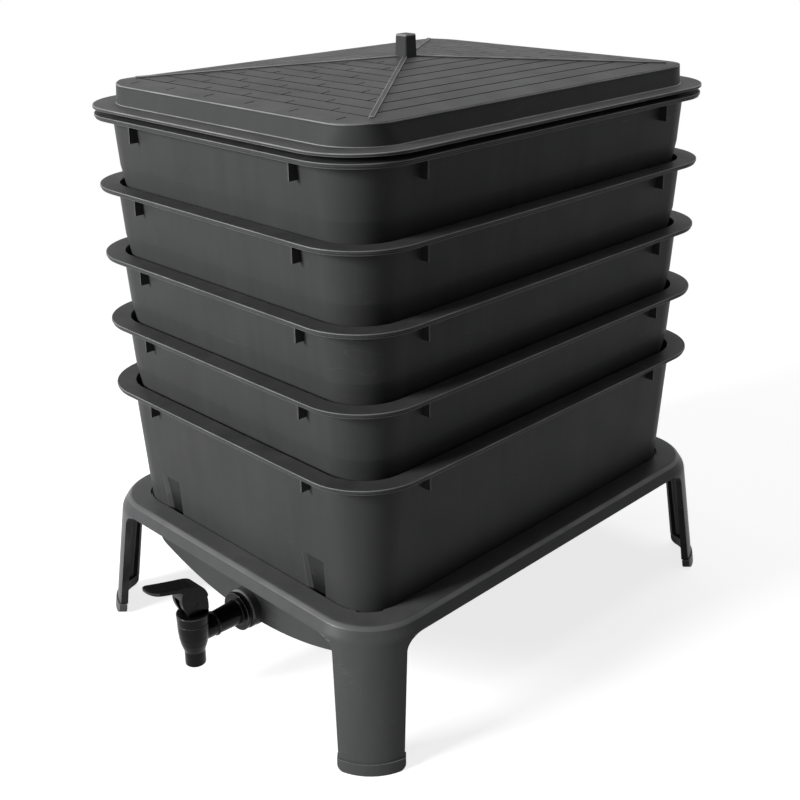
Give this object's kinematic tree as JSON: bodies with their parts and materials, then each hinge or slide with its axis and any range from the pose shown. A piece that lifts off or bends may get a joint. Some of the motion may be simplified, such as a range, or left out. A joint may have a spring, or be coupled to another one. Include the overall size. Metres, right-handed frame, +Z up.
{
  "type": "stacking tray wormery",
  "caption": "Free-standing wormery: nested rimmed trays under a hipped lid, on a four-legged stand with a trough collector and a lever drain tap",
  "frame": {"origin": "bottom centre of the bounding box, on the ground", "axes": "+Z up, -Y towards the tap, X across the short side"},
  "size_m": [0.471, 0.668, 0.6569],
  "materials": {
    "body_plastic": "satin moulded anthracite plastic",
    "tap_plastic": "glossy black plastic",
    "seal_rubber": "matt black rubber"
  },
  "bodies": {
    "stand_body": {"stand_frame": "body_plastic", "foot_front_left": "body_plastic", "foot_front_right": "body_plastic", "foot_back_right": "body_plastic", "foot_back_left": "body_plastic", "collector_bowl": "body_plastic", "tap_body": "tap_plastic", "tap_collar": "tap_plastic", "tap_outer_washer": "seal_rubber", "tap_inner_washer": "seal_rubber", "tap_lock_nut": "tap_plastic"},
    "tray_1_body": {"tray_1": "body_plastic"},
    "tray_2_body": {"tray_2": "body_plastic"},
    "tray_3_body": {"tray_3": "body_plastic"},
    "tray_4_body": {"tray_4": "body_plastic"},
    "tray_5_body": {"tray_5": "body_plastic"},
    "lid_body": {"lid": "body_plastic"},
    "tap_stem_body": {"tap_stem": "tap_plastic", "tap_seal": "seal_rubber", "tap_lever_pin": "tap_plastic"},
    "tap_lever_body": {"tap_lever": "tap_plastic"}
  },
  "joints": [
    {"name": "tray_5_lift", "type": "slide", "parent": "stand_body", "child": "tray_5_body", "axis": [0, 0, 1], "range_m": [0, 0.06]},
    {"name": "tray_4_lift", "type": "slide", "parent": "tray_5_body", "child": "tray_4_body", "axis": [0, 0, 1], "range_m": [0, 0.06]},
    {"name": "tray_3_lift", "type": "slide", "parent": "tray_4_body", "child": "tray_3_body", "axis": [0, 0, 1], "range_m": [0, 0.06]},
    {"name": "tray_2_lift", "type": "slide", "parent": "tray_3_body", "child": "tray_2_body", "axis": [0, 0, 1], "range_m": [0, 0.06]},
    {"name": "tray_1_lift", "type": "slide", "parent": "tray_2_body", "child": "tray_1_body", "axis": [0, 0, 1], "range_m": [0, 0.06]},
    {"name": "lid_lift", "type": "slide", "parent": "tray_1_body", "child": "lid_body", "axis": [0, 0, 1], "range_m": [0, 0.06]},
    {"name": "tap_stem_lift", "type": "slide", "parent": "stand_body", "child": "tap_stem_body", "axis": [0, 0, 1], "range_m": [0, 0.0042]},
    {"name": "tap_lever_press", "type": "hinge", "parent": "tap_stem_body", "child": "tap_lever_body", "pos_m": [0, -0.28002, 0.1119], "axis": [1, 0, 0], "range_deg": [0, 25], "stiffness_Nm_per_rad": 0.6, "springref_deg": -11.46}
  ],
  "couplings": [
    {"joint": "tap_stem_lift", "follows": "tap_lever_press", "m_per_rad": 0.0096}
  ]
}
